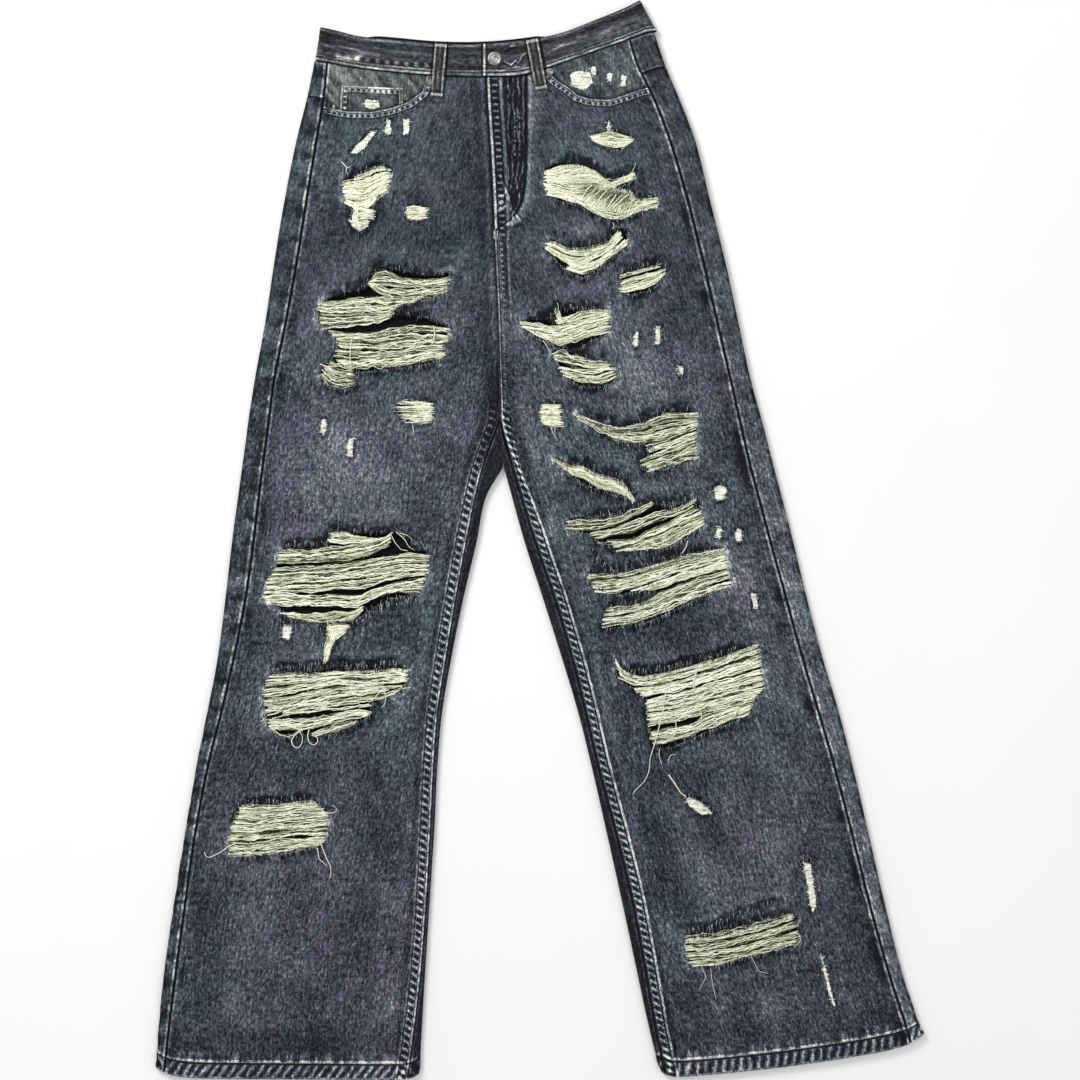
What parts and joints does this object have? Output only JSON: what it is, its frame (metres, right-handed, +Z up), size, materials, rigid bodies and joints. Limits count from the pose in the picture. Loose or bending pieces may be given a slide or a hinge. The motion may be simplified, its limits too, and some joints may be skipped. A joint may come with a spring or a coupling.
{
  "type": "ripped jeans",
  "caption": "Wide-leg, high-waisted jeans laid flat with the front up, with ripped thighs and knees whose pale cross threads still span the holes.",
  "frame": {"origin": "centre of the bounding box in plan, at the lowest cloth", "axes": "+Z up off the surface it lies on, +Y towards the waist, +X towards the wearer's left"},
  "size_m": [0.7662, 1.0775, 0.0137],
  "materials": {
    "denim": "slate blue denim, worn and streaked, faded at the thighs, pale along seams",
    "waistband_denim": "grey denim in two layers, worn pale at its edges",
    "weft_threads": "undyed cream cotton cross threads",
    "metal": "dulled grey metal"
  },
  "bodies": {
    "root": {"front_panel_right": "denim", "front_panel_left": "denim", "back_panel_right": "denim", "back_panel_left": "denim", "yoke_right": "denim", "yoke_left": "denim", "pocket_facing_right": "denim", "pocket_facing_left": "denim", "coin_pocket": "denim", "back_pocket_right": "denim", "back_pocket_left": "denim", "waistband": "waistband_denim", "belt_loop_front_right": "waistband_denim", "belt_loop_front_left": "waistband_denim", "belt_loop_back_right": "waistband_denim", "belt_loop_back_centre": "waistband_denim", "belt_loop_back_left": "waistband_denim", "weft_r_hip": "weft_threads", "weft_r_thigh_upper": "weft_threads", "weft_r_thigh_lower": "weft_threads", "weft_r_knee_upper": "weft_threads", "weft_r_knee_lower": "weft_threads", "weft_r_shin": "weft_threads", "weft_l_hip": "weft_threads", "weft_l_thigh_1": "weft_threads", "weft_l_thigh_2": "weft_threads", "weft_l_thigh_3": "weft_threads", "weft_l_thigh_4": "weft_threads", "weft_l_knee_upper": "weft_threads", "weft_l_knee_lower": "weft_threads", "weft_l_shin": "weft_threads", "button": "metal", "rivet_right": "metal", "rivet_left": "metal"}
  },
  "joints": []
}
